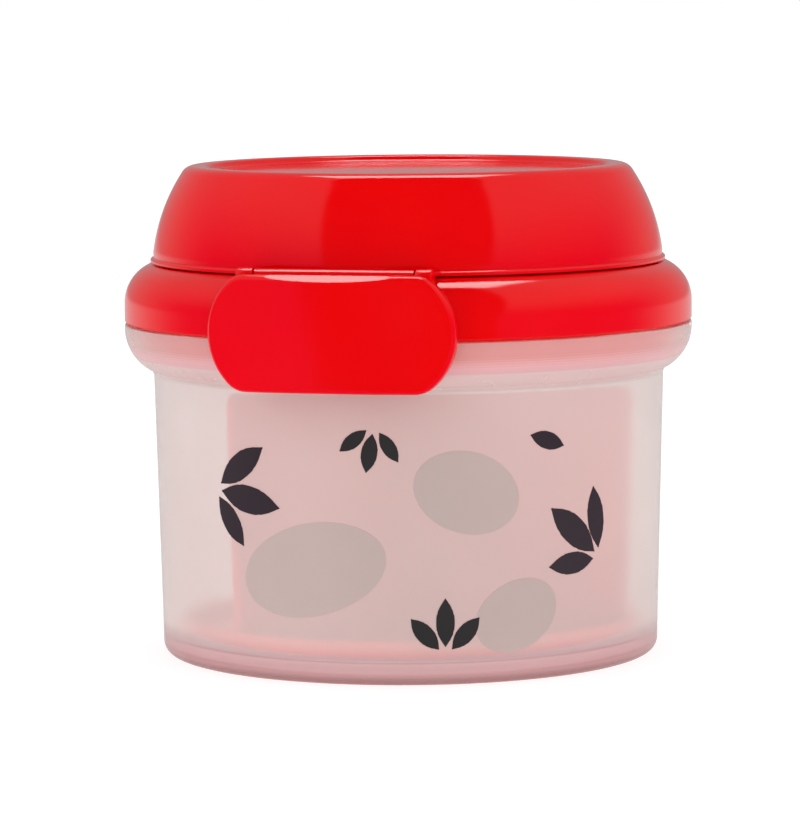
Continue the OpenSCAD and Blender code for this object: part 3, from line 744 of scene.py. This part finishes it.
PETALS = 8
SLIT, SLIT_END_R, HOLE_R, HOLE_SIDES = 0.8, 32, 1.04, 24
DISH_LOW_Z, DISH_EDGE_Z, DISH_THICK = 63.85, 66.85, 1.0
DISH_FLAT_R, DISH_EDGE_R, DISH_CURVE, DISH_STEPS = 6, 36.6, 1.7, 12
RIM_IN_R, RIM_OUT_R, RIM_LOW_Z, RIM_HIGH_Z, RIM_CORNER = 37.6, 39.4, 65.8, 68.9, 0.5
RIM_GROOVE_R, RIM_GROOVE_LOW_Z, RIM_GROOVE_HIGH_Z = 38.57, 66.78, 67.92
CUT_Z, CUT_H = 66, 12

dish = []
for k in range(DISH_STEPS + 1):
    share = k / DISH_STEPS
    lift = (DISH_EDGE_Z - DISH_LOW_Z) * share ** DISH_CURVE
    dish.append((DISH_FLAT_R + (DISH_EDGE_R - DISH_FLAT_R) * share, DISH_LOW_Z + lift))
rim = [
    (RIM_IN_R, RIM_LOW_Z + RIM_CORNER), (RIM_IN_R + RIM_CORNER, RIM_LOW_Z),
    (RIM_OUT_R - RIM_CORNER, RIM_LOW_Z), (RIM_OUT_R, RIM_LOW_Z + RIM_CORNER),
    (RIM_OUT_R, RIM_GROOVE_LOW_Z), (RIM_GROOVE_R, RIM_GROOVE_LOW_Z),
    (RIM_GROOVE_R, RIM_GROOVE_HIGH_Z), (RIM_OUT_R, RIM_GROOVE_HIGH_Z),
    (RIM_OUT_R, RIM_HIGH_Z - RIM_CORNER), (RIM_OUT_R - RIM_CORNER, RIM_HIGH_Z),
    (RIM_IN_R + RIM_CORNER, RIM_HIGH_Z), (RIM_IN_R, RIM_HIGH_Z - RIM_CORNER),
]
dish_top = [(r, z + DISH_THICK) for r, z in reversed(dish)] + [(0, DISH_LOW_Z + DISH_THICK)]
guard = turned([(0, DISH_LOW_Z)] + dish + rim + dish_top, around=96, closed=False)
for k in range(PETALS // 2):
    turn = 2 * math.pi * k / PETALS
    bpy.ops.mesh.primitive_cube_add(size=1, location=(0, 0, CUT_Z * MM), rotation=(0, 0, turn))
    size = (2 * SLIT_END_R * MM, SLIT * MM, CUT_H * MM)
    bpy.ops.transform.resize(value=size, orient_type="LOCAL")
    combined(guard, settled(), "DIFFERENCE")
for k in range(PETALS):
    turn = 2 * math.pi * k / PETALS
    hole_at = (SLIT_END_R * MM * math.cos(turn), SLIT_END_R * MM * math.sin(turn), CUT_Z * MM)
    bpy.ops.mesh.primitive_cylinder_add(
        vertices=HOLE_SIDES, radius=HOLE_R * MM, depth=CUT_H * MM, location=hole_at
    )
    combined(guard, settled(), "DIFFERENCE")
rides(guard, "petal_guard", "guard", "silicone", silicone, stands_for="finger_guard")

# --------------------------------------------------------------------------------------------------
# Collar: glossy red polypropylene, with a skirt whose four lugs run under the neck's ridges, a
# rounded shoulder, a mouth ring, two ears for the lid's hinge at the back and a catch for the latch
# at the front.

fair_copy("collar", "turning_collar", "collar", "red", red_plastic)

# --------------------------------------------------------------------------------------------------
# Hinge pin: a length of drawn steel wire, held in the collar's two ears. The lid's knuckle turns on
# it. Drawing leaves it a little dull.

STEEL, STEEL_SHADE = (0.66, 0.67, 0.69, 1), (0.55, 0.56, 0.58, 1)

steel, shader = moulded_plastic(
    "drawn steel", STEEL, STEEL_SHADE, gloss=0.25, haze=0.1, depth=0.1, wave_scale=2500
)
shader.inputs["Metallic"].default_value = 1
fair_copy("hinge_pin", "steel_pin", "collar", "steel", steel)

# --------------------------------------------------------------------------------------------------
# Lid: a dome moulded in glossy red polypropylene, with a recessed top and a rounded bead round its
# foot. A knuckle at the back turns on the hinge pin, and two lugs at the front carry the latch.

LID_R, LID_Z, LID_TOP_R, LID_TOP_Z, LID_INNER_Z, RECESS_Z = 45.95, 70.7, 40.7, 87.9, 84.9, 86.8
HINGE_Y, HINGE_Z, KNUCKLE_R, KNUCKLE_LEN, PIN_R = 48.9, 72.0, 2.4, 14, 1.0
BARREL_Y, BARREL_Z, BARREL_R, BARREL_LEN, STUB_R = 48.2, 70.6, 1.6, 28, 0.85
LUG_W, LUG_WALL, LUG_END_WALL, LUG_GAP, RUNNING_ROOM = 2.95, 0.15, 0.7, 0.3, 0.06
LUG_FOOT_LOW_Z, LUG_FOOT_HIGH_Z, LUG_FOOT_BACK, LUG_FOOT_NARROWER = 71, 71.72, 0.88, 0.3
WEB_LOW_Z, WEB_HIGH_Z, WEB_NARROWER = 71.05, 74.05, 0.4
SOFT_CORNER = 0.25
LID_STEPS, TRIM_IN, TRIM_Z, TRIM_H = 192, 1, 80, 40


def thickened(piece, step):
    """A drawn face pushed into a closed block by step, in millimetres."""
    bpy.ops.object.mode_set(mode="EDIT")
    bpy.ops.mesh.select_all(action="SELECT")
    bpy.ops.mesh.extrude_region_move(TRANSFORM_OT_translate={"value": [c * MM for c in step]})
    bpy.ops.mesh.select_all(action="SELECT")
    bpy.ops.mesh.normals_make_consistent(inside=False)
    bpy.ops.object.mode_set(mode="OBJECT")
    return piece


def cross_bar(points, length, middle=0):
    """A bar along X with the given side outline of (y, z) points."""
    bar = drawn_outline([(middle - length / 2, y, z) for y, z in points])
    return thickened(bar, (length, 0, 0))


def round_bar(y, z, radius, length, middle=0, sides=48):
    """A round bar along X."""
    bpy.ops.object.select_all(action="DESELECT")
    bpy.ops.mesh.primitive_cylinder_add(
        vertices=sides, radius=radius * MM, depth=length * MM,
        location=(middle * MM, y * MM, z * MM), rotation=(0, math.pi / 2, 0),
    )
    return settled()


dome = (
    # the inside, from under the roof down to the foot
    [(0, LID_INNER_Z)]
    + arched((LID_TOP_R - 4.5, LID_INNER_Z), (LID_TOP_R - 1.9, LID_INNER_Z - 2), -0.6, 6)
    + arched((LID_TOP_R - 1.8, LID_INNER_Z - 2.4), (LID_R - 2, LID_Z + 1), -0.6, 12)
    # the foot and its bead
    + [(LID_R - 2, LID_Z + 0.2), (LID_R - 1.8, LID_Z)]
    + [(LID_R + 0.2, LID_Z), (LID_R + 0.35, LID_Z + 0.15)]
    + arched((LID_R + 0.36, LID_Z + 0.4), (LID_R + 0.3, LID_Z + 0.62), 0.03, 4)
    + arched((LID_R + 0.27, LID_Z + 0.65), (LID_R - 0.2, LID_Z + 0.97), 0.03, 6)
    + arched((LID_R - 0.2, LID_Z + 1.05), (LID_R - 0.17, LID_Z + 1.5), -0.02, 3)
    # the crowned side, the shoulder, and the top with its recess
    + arched((LID_R - 0.16, LID_Z + 1.8), (LID_TOP_R, LID_TOP_Z - 1.5), 0.83, 28)
    + arched((LID_TOP_R - 0.13, LID_TOP_Z - 1.28), (LID_TOP_R - 2.6, LID_TOP_Z), 0.42, 10)
    + [(LID_TOP_R - 4.1, LID_TOP_Z)]
    + arched((LID_TOP_R - 4.3, LID_TOP_Z - 0.04), (LID_TOP_R - 4.9, LID_TOP_Z - 0.55), 0.1, 4)
    + arched((LID_TOP_R - 5.1, LID_TOP_Z - 0.8), (LID_TOP_R - 6, RECESS_Z), -0.12, 4)
    + [(0, RECESS_Z)]
)
lid = turned(dome, around=LID_STEPS, closed=False)


def clear_of_dome(piece):
    """Trims off what would reach through the dome's wall."""
    bpy.ops.mesh.primitive_cylinder_add(
        vertices=LID_STEPS, radius=(LID_R - TRIM_IN) * MM, depth=TRIM_H * MM,
        location=(0, 0, TRIM_Z * MM),
    )
    combined(piece, settled(), "DIFFERENCE")


def softened(piece, width):
    """Rounds the sharp edges of a plain block."""
    finished(
        piece, "BEVEL",
        width=width * MM, segments=3, limit_method="ANGLE", angle_limit=math.radians(40),
    )
    return piece


for side in (-1, 1):
    middle = side * (BARREL_LEN / 2 + LUG_GAP + LUG_W / 2)
    lug = softened(round_bar(-BARREL_Y, BARREL_Z, BARREL_R + LUG_WALL, LUG_W, middle), SOFT_CORNER)
    foot_back_y = -LID_R * LUG_FOOT_BACK
    foot = [
        (-BARREL_Y, LUG_FOOT_LOW_Z), (foot_back_y, LUG_FOOT_LOW_Z),
        (foot_back_y, LUG_FOOT_HIGH_Z), (-BARREL_Y, LUG_FOOT_HIGH_Z),
    ]
    combined(lug, cross_bar(foot, LUG_W - LUG_FOOT_NARROWER, middle), "UNION")
    clear_of_dome(lug)
    bore_middle = middle - side * LUG_END_WALL
    bore = round_bar(-BARREL_Y, BARREL_Z, STUB_R + RUNNING_ROOM, LUG_W, bore_middle)
    combined(lug, bore, "DIFFERENCE")
    combined(lid, lug, "UNION")
knuckle = softened(round_bar(HINGE_Y, HINGE_Z, KNUCKLE_R, KNUCKLE_LEN, sides=64), SOFT_CORNER)
web = [(LID_R - 2, WEB_LOW_Z), (HINGE_Y, WEB_LOW_Z), (HINGE_Y, WEB_HIGH_Z), (LID_R - 2, WEB_HIGH_Z)]
combined(knuckle, cross_bar(web, KNUCKLE_LEN - WEB_NARROWER), "UNION")
clear_of_dome(knuckle)
combined(knuckle, round_bar(HINGE_Y, HINGE_Z, PIN_R + RUNNING_ROOM, KNUCKLE_LEN + 1), "DIFFERENCE")
combined(lid, knuckle, "UNION")
rides(lid, "flip_lid_dome", "lid", "red", red_plastic, stands_for="flip_lid", smooth_below=30)

# --------------------------------------------------------------------------------------------------
# Latch: one red moulding, a thick pad bowed like the collar, with rounded edges and a bevel along
# its top. It hangs on a barrel between the lid's lugs, and a hook in the hollow of its back snaps
# over the collar's catch.

PAD_HALF_W, PAD_HALF_H, PAD_THICK, PAD_Z = 21.9, 10.05, 2.8, 61.35
PAD_END_R, PAD_CORNER_R, PAD_BOW_R, PAD_BACK_Y = 12, 4.6, 95, 51.6
PAD_END_STEPS, PAD_CORNER_STEPS, PAD_SLICE = 12, 6, 1.5
# how far from the pad's back each edge lies, then the width and the steps of its rounding
PAD_EDGES = ((PAD_THICK, 1.05, 6), (0, 0.4, 3))
BROW_HALF_W, BROW_SLOPE, BROW_REACH = 16, math.radians(38), 3
STUB_LEN = 32.7
HOLLOW_W, HOLLOW_DEEP, HOLLOW_LOW_Z, HOLLOW_HIGH_Z = 20.4, 1.3, 50.3, 68
ARM_LOW_Z, ARM_HIGH_Z = 69.2, 70.8
HOOK_W, HOOK_ROOT_Y, HOOK_TIP_Y, HOOK_LOW_Z, HOOK_HIGH_Z = 17, 53.3, 52.4, 59.8, 60.8
HOOK_CHAMFER_DEEP, HOOK_CHAMFER_H = 0.35, 0.4

end_x = PAD_HALF_W - PAD_END_R
corner_z = PAD_HALF_H - PAD_CORNER_R
corner_x = end_x + math.sqrt((PAD_END_R - PAD_CORNER_R) ** 2 - corner_z ** 2)
turn_at = math.atan2(corner_z, corner_x - end_x)
quarter = []
for k in range(PAD_END_STEPS + 1):
    turn = turn_at * k / PAD_END_STEPS
    quarter.append((end_x + PAD_END_R * math.cos(turn), PAD_END_R * math.sin(turn)))
for k in range(1, PAD_CORNER_STEPS + 1):
    turn = turn_at + (math.pi / 2 - turn_at) * k / PAD_CORNER_STEPS
    quarter.append(
        (corner_x + PAD_CORNER_R * math.cos(turn), corner_z + PAD_CORNER_R * math.sin(turn))
    )
half = quarter + [(-x, z) for x, z in reversed(quarter)]
outline = half + [(-x, -z) for x, z in half[1:-1]]
pad = drawn_outline([(x, -PAD_BACK_Y, PAD_Z + z) for x, z in outline])
thickened(pad, (0, -PAD_THICK, 0))
bpy.ops.object.mode_set(mode="EDIT")
bpy.ops.mesh.select_mode(type="EDGE")
for depth, width, steps in PAD_EDGES:
    bpy.ops.mesh.select_all(action="DESELECT")
    bpy.ops.object.mode_set(mode="OBJECT")
    for line in pad.data.edges:
        ends = [pad.data.vertices[v].co.y for v in line.vertices]
        line.select = all(abs(y + (PAD_BACK_Y + depth) * MM) < 0.01 * MM for y in ends)
    bpy.ops.object.mode_set(mode="EDIT")
    bpy.ops.mesh.bevel(offset=width * MM, segments=steps, profile=0.5, affect="EDGES")
slices = int(PAD_HALF_W / PAD_SLICE)
for k in range(-slices, slices + 1):
    bpy.ops.mesh.select_all(action="SELECT")
    bpy.ops.mesh.bisect(plane_co=(PAD_SLICE * k * MM, 0, 0), plane_no=(1, 0, 0))
bpy.ops.object.mode_set(mode="OBJECT")
for vertex in pad.data.vertices:
    vertex.co.y += PAD_BOW_R * MM - math.sqrt((PAD_BOW_R * MM) ** 2 - vertex.co.x ** 2)
brow_y = -PAD_BACK_Y - PAD_THICK + PAD_BOW_R - math.sqrt(PAD_BOW_R ** 2 - BROW_HALF_W ** 2)
up_brow = Vector((math.cos(BROW_SLOPE), math.sin(BROW_SLOPE))) * BROW_REACH
off_brow = Vector((-math.sin(BROW_SLOPE), math.cos(BROW_SLOPE))) * BROW_REACH
brow_edge = Vector((brow_y, PAD_Z + PAD_HALF_H))
brow = [brow_edge - up_brow, brow_edge + up_brow]
brow += [brow_edge + up_brow + off_brow, brow_edge - up_brow + off_brow]
combined(pad, cross_bar(brow, 2 * PAD_HALF_W), "DIFFERENCE")
hollow_y, behind_y = -PAD_BACK_Y - HOLLOW_DEEP, -PAD_BACK_Y + 1
hollow = [
    (hollow_y, HOLLOW_LOW_Z), (behind_y, HOLLOW_LOW_Z),
    (behind_y, HOLLOW_HIGH_Z), (hollow_y, HOLLOW_HIGH_Z),
]
combined(pad, cross_bar(hollow, HOLLOW_W), "DIFFERENCE")
arm_y = -PAD_BACK_Y - 1
arm = [(-BARREL_Y, ARM_LOW_Z), (arm_y, ARM_LOW_Z), (arm_y, ARM_HIGH_Z), (-BARREL_Y, ARM_HIGH_Z)]
combined(pad, cross_bar(arm, BARREL_LEN), "UNION")
combined(pad, round_bar(-BARREL_Y, BARREL_Z, BARREL_R, BARREL_LEN), "UNION")
combined(pad, round_bar(-BARREL_Y, BARREL_Z, STUB_R, STUB_LEN), "UNION")
hook = [
    (-HOOK_ROOT_Y, HOOK_LOW_Z), (-HOOK_TIP_Y - HOOK_CHAMFER_DEEP, HOOK_LOW_Z),
    (-HOOK_TIP_Y, HOOK_LOW_Z + HOOK_CHAMFER_H), (-HOOK_TIP_Y, HOOK_HIGH_Z),
    (-HOOK_ROOT_Y, HOOK_HIGH_Z),
]
combined(pad, cross_bar(hook, HOOK_W), "UNION")
rides(pad, "front_latch", "latch", "red", red_plastic, stands_for="latch", smooth_below=28)
brow_way = Vector((0, -math.sin(BROW_SLOPE), math.cos(BROW_SLOPE)))
for face in pad.data.polygons:
    if face.normal.dot(brow_way) > 0.9995:
        face.use_smooth = False
